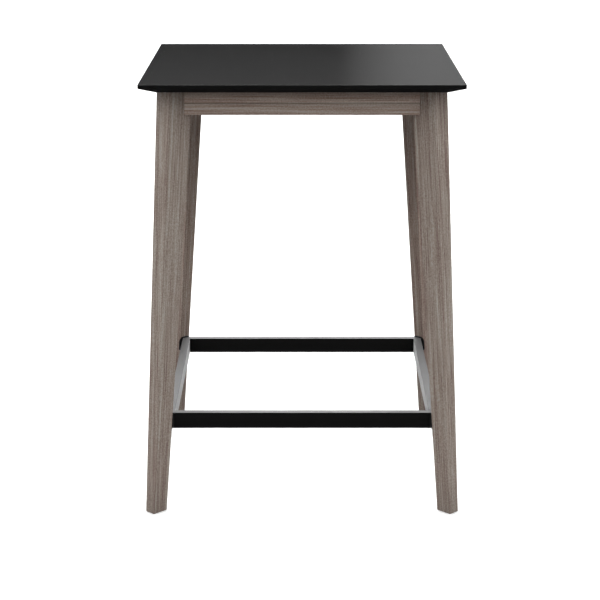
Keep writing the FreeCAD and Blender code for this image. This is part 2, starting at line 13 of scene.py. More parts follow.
import bmesh
import bpy
import numpy as np
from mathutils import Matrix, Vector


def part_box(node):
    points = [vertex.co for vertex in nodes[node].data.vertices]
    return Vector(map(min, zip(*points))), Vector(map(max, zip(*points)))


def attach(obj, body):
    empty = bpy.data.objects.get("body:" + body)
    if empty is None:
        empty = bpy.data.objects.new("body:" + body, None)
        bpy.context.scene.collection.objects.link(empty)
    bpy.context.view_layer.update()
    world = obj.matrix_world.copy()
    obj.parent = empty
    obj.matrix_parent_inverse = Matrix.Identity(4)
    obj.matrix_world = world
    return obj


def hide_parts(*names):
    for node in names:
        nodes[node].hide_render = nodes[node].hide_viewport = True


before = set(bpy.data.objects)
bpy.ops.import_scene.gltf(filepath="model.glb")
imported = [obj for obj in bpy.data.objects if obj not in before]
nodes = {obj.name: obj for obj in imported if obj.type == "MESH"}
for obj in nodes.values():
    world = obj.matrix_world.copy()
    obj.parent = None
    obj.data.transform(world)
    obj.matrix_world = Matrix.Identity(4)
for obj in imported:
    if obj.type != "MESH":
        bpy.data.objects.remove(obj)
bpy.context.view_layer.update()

# %% [markdown]
# ## The camera
# The product picture looks straight at the front of the table, from about eye level.
# The two long edges of the board, the height of the legs and the gap between the front and the
# rear tube give the distance, the height and the tilt. A shifted lens could frame the table too,
# but a tilted camera with no shift is used, because a turned view then keeps the same framing.

# %% Camera
LENS, SENSOR = 109.1, 36.0  # in millimetres
SIGHT = 200.0  # how far the camera sees, in metres
CAMERA_PLACE = (-0.0049, -4.588, 1.6873)
CAMERA_PITCH = math.radians(15.146)

lens = bpy.data.cameras.new("picture_camera")
lens.lens = LENS
lens.sensor_width = SENSOR
lens.clip_end = SIGHT
camera = bpy.data.objects.new("picture_camera", lens)
camera.location = CAMERA_PLACE
camera.rotation_euler = (math.pi / 2 - CAMERA_PITCH, 0.0, 0.0)
bpy.context.scene.collection.objects.link(camera)
bpy.context.scene.camera = camera
print("camera at", CAMERA_PLACE, "looking down", round(math.degrees(CAMERA_PITCH), 2), "degrees")

# %% [markdown]
# ## Finishes
# A finish is a small net of shader nodes that ends in one shader. It could be drawn by hand in the
# shader editor, but a net that is written out can be read, repeated and changed. Helpers keep the
# nets short: one links or sets the inputs of a node, one adds a node, one adds a sum, and one
# starts a finish with its shader.

# %% Helpers for finishes
def feed(tree, made, **inputs):
    """Links every input that is given as a socket, and sets any other value on it. An input is
    named by its label, with _ for a space, or as in0, in1 by its place."""
    for name, value in inputs.items():
        place = name[2:]
        by_place = name.startswith("in") and place.isdigit()
        socket = made.inputs[int(place) if by_place else name.replace("_", " ")]
        if isinstance(value, bpy.types.NodeSocket):
            tree.links.new(value, socket)
        else:
            socket.default_value = value


def add(tree, kind, settings=None, **inputs):
    """Adds a node of one kind, with its settings and its inputs."""
    made = tree.nodes.new("ShaderNode" + kind)
    for name, value in (settings or {}).items():
        setattr(made, name, value)
    feed(tree, made, **inputs)
    return made


def calc(tree, operation, a, b=0.0, c=0.0):
    """One sum on numbers: a operation b."""
    return add(tree, "Math", {"operation": operation}, in0=a, in1=b, in2=c).outputs[0]


def start_finish(name):
    """An empty finish: its material, its tree and its shader."""
    material = bpy.data.materials.new(name)
    material.use_nodes = True
    return material, material.node_tree, material.node_tree.nodes["Principled BSDF"]


print("helpers:", [helper.__name__ for helper in (feed, add, calc, start_finish)])

# %% [markdown]
# ## Floor
# The table was photographed on a white sweep, which shows no edge and no bend. A curved backdrop
# could be built, but one large flat sheet looks the same. Its white is set apart for what the
# camera sees, for the light that it throws up at the table, and for what dark gloss mirrors,
# because one white for all three would wash out the black tubes from below.

# %% Floor
FLOOR_REACH, FLOOR_ROUGHNESS = 60.0, 0.9
FLOOR_SEEN, FLOOR_BOUNCE, FLOOR_MIRRORED = 0.94, 0.175, 0.70
GLOW_SEEN, GLOW_MIRRORED = 0.25, 0.10
WHITE, BLACK = (1, 1, 1, 1), (0, 0, 0, 1)


def stage_sheet(name, corners):
    """A flat four-cornered sheet of the studio, with its own finish."""
    mesh = bpy.data.meshes.new(name)
    mesh.from_pydata(corners, [], [(0, 1, 2, 3)])
    sheet = bpy.data.objects.new(name, mesh)
    bpy.context.scene.collection.objects.link(sheet)
    finish, tree, shader = start_finish(name)
    mesh.materials.append(finish)
    return sheet, tree, shader


floor_corners = FLOOR_REACH * np.array([(-1, -1, 0), (1, -1, 0), (1, 1, 0), (-1, 1, 0)])
floor, tree, shader = stage_sheet("floor", floor_corners)
rays = add(tree, "LightPath").outputs
shade = calc(tree, "MULTIPLY_ADD", rays["Is Diffuse Ray"], FLOOR_BOUNCE - FLOOR_SEEN, FLOOR_SEEN)
shade = calc(tree, "MULTIPLY_ADD", rays["Is Glossy Ray"], FLOOR_MIRRORED - FLOOR_SEEN, shade)
glow = calc(tree, "MULTIPLY", rays["Is Camera Ray"], GLOW_SEEN)
glow = calc(tree, "MULTIPLY_ADD", rays["Is Glossy Ray"], GLOW_MIRRORED, glow)
feed(tree, shader, Base_Color=shade, Roughness=FLOOR_ROUGHNESS, Specular_IOR_Level=0.0,
     Emission_Color=WHITE, Emission_Strength=glow)
print(floor.name, 2 * FLOOR_REACH, "m wide")

# %% [markdown]
# ## Suns
# The light of the picture is broad and even, with hardly a shadow. Lamps at a distance would leave
# the far part of the floor grey, so wide suns are used, equally strong everywhere. Two stand
# to the sides, so the corner faces of the legs are brighter than the aprons, and a weak one in
# front and a stronger one behind fill in the rest. The last one lights only shiny faces, and it
# draws the pale upper sides of the footrest.

# %% Suns
SUNS = {  # name: (azimuth from the camera, height above the floor and width in degrees, strength)
    "sun_left": (-58, 39, 60, 2.0),
    "sun_right": (58, 39, 60, 2.0),
    "sun_front": (0, 24, 60, 0.50),
    "sun_rear": (180, 44, 30, 3.2),
    "sun_gloss": (180, 46, 56, 14.0),
}

for name, (azimuth, height, width, strength) in SUNS.items():
    lamp = bpy.data.lights.new(name, "SUN")
    lamp.energy = strength
    lamp.angle = math.radians(width)
    sun = bpy.data.objects.new(name, lamp)
    sun.rotation_euler = (math.radians(90 - height), 0.0, math.radians(azimuth))
    sun.visible_diffuse = name != "sun_gloss"
    bpy.context.scene.collection.objects.link(sun)
print(len(SUNS), "suns")

# %% [markdown]
# ## Sheen on the board
# The board mirrors what is far behind the table, and its sheen grows towards the right. A lamp
# there would light the wood as well, so the sheen comes from a card that only shiny faces see: it
# glows more to the right and a little more with height, and all round it the studio is dim.

# %% Helpers for colours
def grey(value):
    """A grey as a colour."""
    return (value, value, value)


def ramp(tree, factor, stops):
    """A colour ramp through stops of (place, colour)."""
    made = add(tree, "ValToRGB", Fac=factor)
    points = made.color_ramp.elements
    while len(points) < len(stops):
        points.new(1.0)
    for point, (place, colour) in zip(points, stops):
        point.position = place
        point.color = (*colour, 1.0)
    return made.outputs["Color"]


def spread(tree, value, span, between=(0.0, 1.0)):
    """Carries a value over a span to one between two others, and holds it there."""
    return add(tree, "MapRange", Value=value, From_Min=span[0], From_Max=span[1],
               To_Min=between[0], To_Max=between[1]).outputs[0]


def ramp_over(tree, value, span, stops):
    """A colour ramp over a span of values, through stops of (value, colour)."""
    low, high = span
    shares = [((stop - low) / (high - low), colour) for stop, colour in stops]
    return ramp(tree, spread(tree, value, span), shares)


print("helpers:", [helper.__name__ for helper in (grey, ramp, spread, ramp_over)])

# %% Card
CARD_BOX, CARD_DISTANCE = (-6.0, 6.0, 2.4, 5.2), 22.0  # left, right, bottom and top
CARD_FADE = [(0.45, 0.090), (0.60, 0.104), (0.87, 0.215), (1.16, 0.310),
             (1.46, 0.386), (1.90, 0.435)]  # place across the card, and glow
CARD_LIFT, CARD_LEVEL = 0.135, 3.85  # more glow for each metre above a level

left, right, bottom, top = CARD_BOX
card_corners = [(left, bottom), (right, bottom), (right, top), (left, top)]
card, tree, shader = stage_sheet("card_sheen", [(x, CARD_DISTANCE, z) for x, z in card_corners])
card.visible_camera = False
card.visible_diffuse = False
place = add(tree, "SeparateXYZ", Vector=add(tree, "TexCoord").outputs["Object"]).outputs
glow = ramp_over(tree, place["X"], (left, right), [(x, grey(value)) for x, value in CARD_FADE])
lift = calc(tree, "MULTIPLY_ADD", place["Z"], CARD_LIFT, -CARD_LIFT * CARD_LEVEL)
feed(tree, shader, Base_Color=BLACK, Specular_IOR_Level=0.0, Emission_Color=WHITE,
     Emission_Strength=calc(tree, "ADD", glow, lift))
print(card.name, "glows from", CARD_FADE[0][1], "to", CARD_FADE[-1][1])

# %% Studio
STUDIO_GREY = 0.095

world = bpy.data.worlds.new("dim_studio")
world.use_nodes = True
feed(world.node_tree, world.node_tree.nodes["Background"], Color=(*grey(STUDIO_GREY), 1))
bpy.context.scene.world = world
bpy.context.scene.view_settings.view_transform = "Standard"
print(world.name, "with a grey of", STUDIO_GREY)

# %% [markdown]
# ## Grey-brown wood
# The legs and aprons are straight-grained wood with a grey stain and a matt lacquer: fine lines
# along the piece, dark ones browner and light ones greyer, with broad bands, flecks and short
# pores. Painted shade darkens the front legs towards the board and the floor, and the rear ones
# are a little warmer and darken from half their height down. A dark and a light line run along
# each apron, which has a warmer painted shade that darkens it towards the board.
# A flat picture of wood would not fit the tapered and leaning pieces, so the wood is a solid
# pattern: growth rings round a pith beside the piece, layers of grain and pores, all drawn in axes
# that a Mapping node turns to lie along that piece. Each piece has its own part of the pattern.

# %% Colours and painted shade of the wood
WOOD_DARK = (0.146, 0.092, 0.077)
WOOD_MID = (0.271, 0.221, 0.188)
WOOD_LIGHT = (0.411, 0.386, 0.342)
WOOD_TONES = [(0.06, WOOD_DARK), (0.50, WOOD_MID), (0.94, WOOD_LIGHT)]
# Painted shade: the front legs darker near the floor and under the board, where shade falls.
FRONT_PAINTED_SHADE = [(0.0, grey(0.82)), (0.10, grey(1.0)), (0.93, grey(1.0)), (1.04, grey(0.86))]
# Painted shade: the rear legs a little warmer, and darker from half their height down to the floor.
REAR_PAINTED_SHADE = [(0.0, (0.70, 0.66, 0.65)), (0.50, (1.0, 0.945, 0.925))]
# Painted shade: a warmer tone on the aprons, as wood looks warmer in shade.
APRON_SHADE_WARMTH = (1.05, 0.98, 0.965)
# A dark and a light line along the apron, and painted shade that darkens it towards the board.
APRON_LINE_AND_SHADE_STEPS = [(0.986, 1.04), (1.0093, 1.06), (1.0117, 0.53), (1.0140, 1.07), (1.0164, 1.62),
               (1.0188, 1.22), (1.0258, 1.18), (1.0329, 0.96), (1.043, 0.74)]  # height, brightness
APRON_LINES_AND_PAINTED_SHADE = [(z, tuple(warm * share for warm in APRON_SHADE_WARMTH)) for z, share in APRON_LINE_AND_SHADE_STEPS]
# Prints where the painted shade on the front legs starts and ends.
print("stain on the front legs from", FRONT_PAINTED_SHADE[0][0], "to", FRONT_PAINTED_SHADE[-1][0], "m")

# %% Helpers for patterns
def vectors(tree, operation, a, b, c=(0.0, 0.0, 0.0)):
    """One sum on vectors. A distance comes out as a number."""
    outputs = add(tree, "VectorMath", {"operation": operation}, in0=a, in1=b, in2=c).outputs
    return outputs["Value" if operation == "DISTANCE" else "Vector"]


def noise(tree, vector, blots, detail, rough=0.5, output="Fac"):
    """Noise with a number of blots in a metre along each axis, as a number or as a colour."""
    scaled = vectors(tree, "MULTIPLY", vector, blots)
    made = add(tree, "TexNoise", Vector=scaled, Scale=1.0, Detail=detail, Roughness=rough)
    return made.outputs[output]


def noise_along(tree, number, scale, detail):
    """Noise along a single number."""
    made = add(tree, "TexNoise", {"noise_dimensions": "1D"}, W=number, Scale=scale, Detail=detail)
    return made.outputs["Fac"]


print("helpers:", [helper.__name__ for helper in (vectors, noise, noise_along)])

# %% Growth rings
SWAY_BLOTS, SWAY_REACH = (9.0, 9.0, 2.2), (0.010, 0.010, 0.0)
RINGS_PER_METRE, RING_WANDER, WANDER_SCALE, STRENGTH_SCALE = 150.0, 3.0, 70.0, 7.3
RING_SHADES = [(0.0, grey(0.70)), (0.45, grey(0.58)), (0.78, grey(0.12)), (0.88, grey(0.0)),
               (1.0, grey(0.85))]


def grain_axes(tree, coordinates, place, turn):
    """Coordinates along a piece, straight and swaying. Swaying = straight + reach x slow noise."""
    straight = add(tree, "Mapping", {"vector_type": "TEXTURE"}, Vector=coordinates,
                   Location=place, Rotation=turn).outputs[0]
    drift = noise(tree, straight, SWAY_BLOTS, detail=2.0, output="Color")
    return straight, vectors(tree, "MULTIPLY_ADD", drift, SWAY_REACH, straight)


def growth_rings(tree, swaying, pith):
    """Shade of the ring at a point, and that ring's strength. Number of the ring = distance to the
    pith x rings in a metre + wander x noise. Its fraction gives the shade from early to late wood,
    and its whole part picks the strength."""
    flat = vectors(tree, "MULTIPLY", swaying, (1.0, 1.0, 0.0))
    reach = vectors(tree, "DISTANCE", flat, pith)
    uneven = noise_along(tree, reach, WANDER_SCALE, detail=2.0)
    wander = calc(tree, "MULTIPLY", uneven, RING_WANDER)
    number = calc(tree, "MULTIPLY_ADD", reach, RINGS_PER_METRE, wander)
    shade = ramp(tree, calc(tree, "FRACT", number), RING_SHADES)
    return shade, noise_along(tree, calc(tree, "FLOOR", number), STRENGTH_SCALE, detail=0.0)


print("rings", round(1000 / RINGS_PER_METRE, 1), "mm apart")

# %% Wood finish
GRAIN = {  # layer: (blots in a metre across and along the grain, detail, roughness, weight)
    "fibres": (420.0, 7.0, 4.0, 0.65, 1.15),
    "streaks": (230.0, 2.6, 3.0, 0.60, 1.25),
    "bands": (60.0, 1.4, 2.0, 0.50, 0.55),
    "hairs": (1300.0, 16.0, 3.0, 0.60, 0.70),
    "flecks": (330.0, 300.0, 2.0, 0.60, 1.05),
}
SWAYING_LAYERS = ("streaks", "bands")
PORE_BLOTS, PORE_STRENGTH = (1900.0, 1900.0, 75.0), 0.6
PORE_SHADES = [(0.60, grey(1.0)), (0.72, grey(0.55))]
WOOD_SHINE, WOOD_ROUGHNESS, FIBRE_ROUGHNESS = 0.2, 0.42, 0.25
WOOD_BUMP, WOOD_RELIEF, FIBRE_RELIEF = 0.35, 0.0003, 0.6


def dim(tree, colour, by, share=1.0):
    """One colour multiplied by another, in full or for a share."""
    settings = {"data_type": "RGBA", "blend_type": "MULTIPLY"}
    return add(tree, "Mix", settings, in0=share, in6=colour, in7=by).outputs[2]


def wood_finish(name, place, turn, pith, rings, painted_shade):
    """Wood with its grain along the local Z of axes at place, turned by turn. Tone = (ring - 1/2) x
    strength x rings + the sum of (layer - 1/2) x weight + 1/2. The painted shade is a list of
    (height, colour), and it dims the wood by that colour where shade falls; on the aprons it also
    holds a dark and a light line."""
    material, tree, shader = start_finish(name)
    coordinates = add(tree, "TexCoord").outputs["Object"]
    straight, swaying = grain_axes(tree, coordinates, place, turn)
    ring, strength = growth_rings(tree, swaying, pith)
    centred = calc(tree, "SUBTRACT", ring, 0.5)
    tone = calc(tree, "MULTIPLY", centred, calc(tree, "MULTIPLY", strength, rings))
    layers = {}
    for layer, (across, along, detail, rough, weight) in GRAIN.items():
        vector = swaying if layer in SWAYING_LAYERS else straight
        layers[layer] = noise(tree, vector, (across, across, along), detail, rough)
        centred = calc(tree, "SUBTRACT", layers[layer], 0.5)
        tone = calc(tree, "MULTIPLY_ADD", centred, weight, tone)
    colour = ramp(tree, calc(tree, "ADD", tone, 0.5), WOOD_TONES)
    level = add(tree, "SeparateXYZ", Vector=coordinates).outputs["Z"]
    # Painted shade: the wood dimmed by height, where shade falls on the piece.
    colour = dim(tree, colour, ramp_over(tree, level, (painted_shade[0][0], painted_shade[-1][0]), painted_shade))
    pores = ramp(tree, noise(tree, straight, PORE_BLOTS, detail=1.0), PORE_SHADES)
    colour = dim(tree, colour, pores, PORE_STRENGTH)
    gloss = calc(tree, "MULTIPLY_ADD", layers["fibres"], FIBRE_ROUGHNESS, WOOD_ROUGHNESS)
    height = calc(tree, "ADD", calc(tree, "MULTIPLY", layers["fibres"], FIBRE_RELIEF), pores)
    bump = add(tree, "Bump", Strength=WOOD_BUMP, Distance=WOOD_RELIEF, Height=height).outputs[0]
    feed(tree, shader, Base_Color=colour, Roughness=gloss, Normal=bump,
         Specular_IOR_Level=WOOD_SHINE)
    return material


print("layers of grain:", list(GRAIN), "and pores", round(1000 / PORE_BLOTS[2], 1), "mm long")

# %% Wood on the legs
CORNERS = {"rear_right": 45, "rear_left": 135, "front_left": 225, "front_right": 315}
GRAIN_SHIFT = {"rear_right": 0.0, "rear_left": 0.9, "front_left": 1.8, "front_right": 4.5}
LEG_LEAN, LEG_RINGS = math.radians(4.65), 0.55
LEG_REACH, LEG_HEIGHT = 0.471, 0.52  # of a leg's middle: from the table's axis, above the floor
PITH_FIRST, PITH_STEP, PITH_ASIDE = 0.13, 0.05, 0.09


def dress(node, material):
    """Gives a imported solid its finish."""
    nodes[node].data.materials.clear()
    nodes[node].data.materials.append(material)


for order, (corner, turn) in enumerate(CORNERS.items()):
    angle = math.radians(turn)
    middle = (LEG_REACH * math.cos(angle), LEG_REACH * math.sin(angle),
              LEG_HEIGHT + GRAIN_SHIFT[corner])
    pith = (PITH_FIRST - PITH_STEP * order, PITH_ASIDE, 0.0)
    # Painted shade by height for this leg: darker near the floor, and for the front legs under the
    # board.
    painted_shade = FRONT_PAINTED_SHADE if corner.startswith("front") else REAR_PAINTED_SHADE
    finish = wood_finish(f"leg_wood_{corner}", middle, (0.0, -LEG_LEAN, angle), pith,
                         LEG_RINGS, painted_shade)
    dress(f"leg_{corner}", finish)
    print(finish.name, len(finish.node_tree.nodes), "shader nodes")

# %% Wood on the aprons
SIDES = {"front": 0, "right": 90, "rear": 180, "left": 270}
APRON_REACH, APRON_HEIGHT = 0.303, 1.014
APRON_SHIFT = 1.3  # along the grain, from one side to the next
APRON_RINGS, APRON_PITH = 0.35, (0.08, 0.14, 0.0)

for order, (side, turn) in enumerate(SIDES.items()):
    angle = math.radians(turn)
    along = APRON_SHIFT * order
    middle = (APRON_REACH * math.sin(angle) + along * math.cos(angle),
              -APRON_REACH * math.cos(angle) + along * math.sin(angle), APRON_HEIGHT)
    # Each apron gets its dark and light line and its painted shade by height.
    finish = wood_finish(f"apron_wood_{side}", middle, (0.0, math.pi / 2, angle), APRON_PITH,
                         APRON_RINGS, APRON_LINES_AND_PAINTED_SHADE)
    dress(f"apron_{side}", finish)
    print(finish.name, len(finish.node_tree.nodes), "shader nodes")

# %% [markdown]
# ## Black lacquer and black powder coat
# The board is sprayed with a satin black lacquer, which lies very flat but never like glass: it
# has a faint peel, a few millimetres across. Less of it reaches the underside, which stays dull.
# The steel of the footrest has a thicker powder coat with a finer and deeper peel, a duller shine,
# and a pale sheen where it is seen along its surface. One plain black would do for both from afar,
# but they are nearly the same black, so the peel and the roughness are what tell them apart.

# %% Black finishes
BLOTS = (23.0, 23.0, 23.0)  # in a metre
NOISE_SPAN = (0.3, 0.7)  # most of the values that noise takes
LIP_HEIGHT = 0.0085


def coated_finish(name, shades, roughness, peel, relief, shine, dull_below=None, sheen=(0.0, 0.5)):
    """A sprayed coat: shades and roughness each run between two values over slow blots, and peel is
    the number of bumps in a metre. Below a height of dull_below the coat is thin and dull. The
    sheen is the pale look of a grainy coat along its surface: how much, and how wide."""
    material, tree, shader = start_finish(name)
    coordinates = add(tree, "TexCoord").outputs["Object"]
    blots = noise(tree, coordinates, BLOTS, detail=4.0, rough=0.6)
    colour = ramp(tree, blots, [(place, grey(shade)) for place, shade in zip(NOISE_SPAN, shades)])
    gloss = spread(tree, blots, NOISE_SPAN, roughness)
    if dull_below:
        level = add(tree, "SeparateXYZ", Vector=coordinates).outputs["Z"]
        gloss = calc(tree, "MAXIMUM", gloss, calc(tree, "LESS_THAN", level, dull_below))
    skin = noise(tree, coordinates, (peel, peel, peel), detail=2.0, rough=0.4)
    bump = add(tree, "Bump", Strength=1.0, Distance=relief, Height=skin).outputs[0]
    feed(tree, shader, Base_Color=colour, Roughness=gloss, Normal=bump, Specular_IOR_Level=shine,
         Sheen_Weight=sheen[0], Sheen_Roughness=sheen[1])
    return material


LIP_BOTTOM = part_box("table_top")[1][2] - LIP_HEIGHT
black_lacquer = coated_finish("black_lacquer", shades=(0.0028, 0.0045), roughness=(0.07, 0.10),
                              peel=420.0, relief=0.000003, shine=0.03, dull_below=LIP_BOTTOM)
powder_coat = coated_finish("powder_coat", shades=(0.001, 0.002), roughness=(0.42, 0.50),
                            peel=700.0, relief=0.00001, shine=0.03, sheen=(0.57, 0.38))
dress("table_top", black_lacquer)
for corner in CORNERS:
    dress(f"footrest_plate_{corner}", powder_coat)
for side in SIDES:
    dress(f"footrest_{side}", powder_coat)
print(black_lacquer.name, powder_coat.name)

# %% [markdown]
# ## Zinc, black oxide and nylon
# The brackets, clips, bolts, nuts and washers are zinc plated: a pale metal whose plating froze in
# small crystals, each with a slightly different shade, and with fine marks from handling. The
# footrest's screws are blackened steel, and the glides under the feet are dark moulded nylon.
# One flat grey would look like paint, so each cell of a cell texture takes its own shade.

# %% Fastener finishes
MARKS, MARK_BUMP, MARK_RELIEF = (240.0, 240.0, 900.0), 0.6, 0.00001


def metal_finish(name, shades, roughness, crystals):
    """Plated metal: each crystal of a cell pattern takes a shade between two greys, and streaky
    noise spreads the roughness."""
    material, tree, shader = start_finish(name)
    coordinates = add(tree, "TexCoord").outputs["Object"]
    cells = add(tree, "TexVoronoi", Vector=coordinates, Scale=crystals).outputs["Color"]
    pick = add(tree, "SeparateColor", Color=cells).outputs[0]
    colour = ramp(tree, pick, [(0.0, shades[0]), (1.0, shades[1])])
    marks = noise(tree, coordinates, MARKS, detail=3.0, rough=0.65)
    gloss = spread(tree, marks, NOISE_SPAN, roughness)
    bump = add(tree, "Bump", Strength=MARK_BUMP, Distance=MARK_RELIEF, Height=marks).outputs[0]
    feed(tree, shader, Base_Color=colour, Metallic=1.0, Roughness=gloss, Normal=bump)
    return material


zinc_plate = metal_finish("zinc_plate", shades=((0.50, 0.51, 0.53), (0.66, 0.67, 0.68)),
                          roughness=(0.26, 0.46), crystals=620.0)
black_oxide = metal_finish("black_oxide", shades=((0.012, 0.012, 0.013), (0.026, 0.026, 0.028)),
                           roughness=(0.32, 0.55), crystals=900.0)
moulded_nylon = coated_finish("moulded_nylon", shades=(0.030, 0.045), roughness=(0.45, 0.60),
                              peel=1500.0, relief=0.00002, shine=0.5)
for corner in CORNERS:
    dress(f"corner_bracket_{corner}", zinc_plate)
print(zinc_plate.name, black_oxide.name, moulded_nylon.name)

# %% [markdown]
# ## Places of the small pieces
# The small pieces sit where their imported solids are. Their places could be typed in one by one, but
# each leg is straight, so its faces follow from a few sizes at its foot and its top, and the rest
# is read from the boxes of the solids.

# %% Places
ROOT_TWO = math.sqrt(2)
TOP_SIDE, LEG_INSET, LEG_SPLAY = 0.766, 0.039, 0.0435
LEG_WIDTH, LEG_DEPTH = (0.030, 0.045), (0.043, 0.074)  # at the foot and at the top
FOOT_LEVEL, UNDERSIDE = 0.0015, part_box("apron_front")[1][2]
APRON_MIDDLE = (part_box("apron_front")[0][2] + UNDERSIDE) / 2
APRON_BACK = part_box("apron_rear")[0][1]
TUBE_LOW, TUBE_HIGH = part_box("footrest_front")[0][2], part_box("footrest_front")[1][2]
TUBE_MIDDLE = (TUBE_LOW + TUBE_HIGH) / 2
PLATE_GAUGE = 0.003

TURNS = np.radians(list(CORNERS.values()))
OUTWARD = np.stack([np.cos(TURNS), np.sin(TURNS), np.zeros(4)], axis=-1)
ACROSS = np.stack([-np.sin(TURNS), np.cos(TURNS), np.zeros(4)], axis=-1)
UP = np.array([0.0, 0.0, 1.0])


def leg_faces(level):
    """Distances of a leg's inner and outer faces from the middle of the table, along its diagonal.
    Each size of the leg runs evenly from its foot to its top."""
    rise = (level - FOOT_LEVEL) / (UNDERSIDE - FOOT_LEVEL)
    width = LEG_WIDTH[0] + (LEG_WIDTH[1] - LEG_WIDTH[0]) * rise
    depth = LEG_DEPTH[0] + (LEG_DEPTH[1] - LEG_DEPTH[0]) * rise
    outer = (TOP_SIDE / 2 - LEG_INSET + LEG_SPLAY * (1 - rise)) * ROOT_TWO - width / 2
    return outer - depth, outer


FACE_LEAN = math.atan2(leg_faces(FOOT_LEVEL)[0] - leg_faces(UNDERSIDE)[0], UNDERSIDE - FOOT_LEVEL)
FACE_UP = UP * math.cos(FACE_LEAN) - OUTWARD * math.sin(FACE_LEAN)
INTO_LEG = OUTWARD * math.cos(FACE_LEAN) + UP * math.sin(FACE_LEAN)
print("the legs' inner faces lean", round(math.degrees(FACE_LEAN), 2), "degrees")

# %% [markdown]
# ## Surfaces from grids
# Blender's own cylinders and modifiers could make the simplest of the small pieces, but not threads
# and recesses. So every new piece is a grid of points: rows along it and columns round it. Turned
# pieces are a profile swung round an axis, and bent ones a section carried along a path. A helper
# joins the neighbours in the grid into faces, for all copies of a piece at once, and gives the
# piece its finish and its place in the frame.

# %% Helpers for points
def axes_along(pointing, up):
    """Axes of pieces that point in given directions: local Z is the direction and local X is turned
    towards up. y = z x up, made one long, and x = y x z."""
    z = np.asarray(pointing, dtype=float)
    y = np.cross(z, up)
    y /= np.linalg.norm(y, axis=-1, keepdims=True)
    return np.stack([np.cross(y, z), y, z], axis=-1)


def copies(local, axes, origins):
    """Copies of one grid of points: origin + axes . local, for every copy at once."""
    return np.einsum("nij,rcj->nrci", axes, local) + np.asarray(origins)[:, None, None, :]


def lathe(radius, level, columns):
    """A turned surface, (r cos t, r sin t, z). The radius and the level of a row are each one
    number, or one for every column."""
    turn = np.arange(columns) * (2 * np.pi / columns)
    radius, level = (np.broadcast_to(np.reshape(rows, (len(rows), -1)), (len(rows), columns))
                     for rows in (radius, level))
    return np.stack([radius * np.cos(turn), radius * np.sin(turn), level], axis=-1)


print("two rows of six columns make a grid of", lathe([1.0, 1.0], [0.0, 1.0], 6).shape)

# %% Helper for pieces
MERGE = 1e-6
SMOOTH_BELOW = math.radians(35)


def surface(name, grids, finish, replaced=None, closed=False):
    """A piece from copies of a grid (copy, row, column, xyz). Each square of neighbours is a face,
    the columns go all the way round, and closed rows do so too. Points that meet at a pole are
    merged."""
    count, rows, columns, _ = grids.shape
    index = np.arange(rows * columns).reshape(rows, columns)
    near, far = (index, np.roll(index, -1, axis=0)) if closed else (index[:-1], index[1:])
    quads = np.stack([near, np.roll(near, -1, axis=1), np.roll(far, -1, axis=1), far], axis=-1)
    quads = quads.reshape(1, -1, 4) + np.arange(count)[:, None, None] * index.size
    mesh = bpy.data.meshes.new(name)
    mesh.from_pydata(grids.reshape(-1, 3), [], quads.reshape(-1, 4))
    shell = bmesh.new()
    shell.from_mesh(mesh)
    bmesh.ops.remove_doubles(shell, verts=shell.verts, dist=MERGE)
    bmesh.ops.recalc_face_normals(shell, faces=shell.faces)
    shell.to_mesh(mesh)
    shell.free()
    mesh.shade_smooth()
    mesh.set_sharp_from_angle(angle=SMOOTH_BELOW)
    mesh.materials.append(finish)
    piece = bpy.data.objects.new(name, mesh)
    bpy.context.scene.collection.objects.link(piece)
    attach(piece, "root")
    if replaced:
        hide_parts(replaced)
    print(name, len(mesh.polygons), "faces")


print("edges look round below", round(math.degrees(SMOOTH_BELOW)), "degrees")

# %% [markdown]
# ## Hanger bolts
# A hanger bolt has no head: one end is a wood screw that was driven into the leg, and the other is
# an M8 thread that comes out through the bracket and takes a nut. A Screw modifier could wind a
# thread, but it would leave its ends open. Here the thread is a groove that climbs one pitch in
# each turn, so its depth depends on the height less the share of a turn.

# %% Shape of a hanger bolt
BOLT_RADIUS, BOLT_CORE, BOLT_PITCH, BOLT_GROOVE = 0.004, 0.0029, 0.00125, 0.0007
BOLT_CHAMFER, BOLT_POINT = 0.001, 0.004
WOOD_PITCH, WOOD_CREST = 0.0032, 2.4


def sawtooth(level, pitch, columns):
    """Place across a thread, 0 to 1, at each height and turn: fraction of z / pitch - t / 2 pi."""
    return np.mod(level[:, None] / pitch - np.arange(columns) / columns, 1.0)


def crests(level, pitch, columns, slope):
    """Height of a sharp thread, 0 to 1: 1 - slope |2f - 1| where above 0, f as in the sawtooth."""
    return np.clip(1 - slope * np.abs(2 * sawtooth(level, pitch, columns) - 1), 0, 1)


def hanger_bolt(length, threaded, columns=28, steps=8):
    """A bolt along Z, from its flat end to its point. Radius = least of the cone at each end and
    the thread: R - groove |2f - 1| on the machine thread, and core + crest on the wood thread."""
    machine = np.arange(0.0, threaded, BOLT_PITCH / steps)
    wood = np.arange(threaded, length, WOOD_PITCH / steps)
    groove = BOLT_RADIUS - BOLT_GROOVE * np.abs(2 * sawtooth(machine, BOLT_PITCH, columns) - 1)
    crest = BOLT_CORE + (BOLT_RADIUS - BOLT_CORE) * crests(wood, WOOD_PITCH, columns, WOOD_CREST)
    level = np.concatenate([machine, wood])
    start = BOLT_RADIUS - BOLT_CHAMFER + level
    point = (length - level) * BOLT_RADIUS / BOLT_POINT
    radius = np.minimum(np.concatenate([groove, crest]), np.minimum(start, point)[:, None])
    poles = np.zeros((1, columns))
    levels = np.concatenate([[0.0], level, [length]])
    return lathe(np.concatenate([poles, radius, poles]), levels, columns)


print("bolt thread of", 2000 * BOLT_RADIUS, "by", 1000 * BOLT_PITCH, "mm")

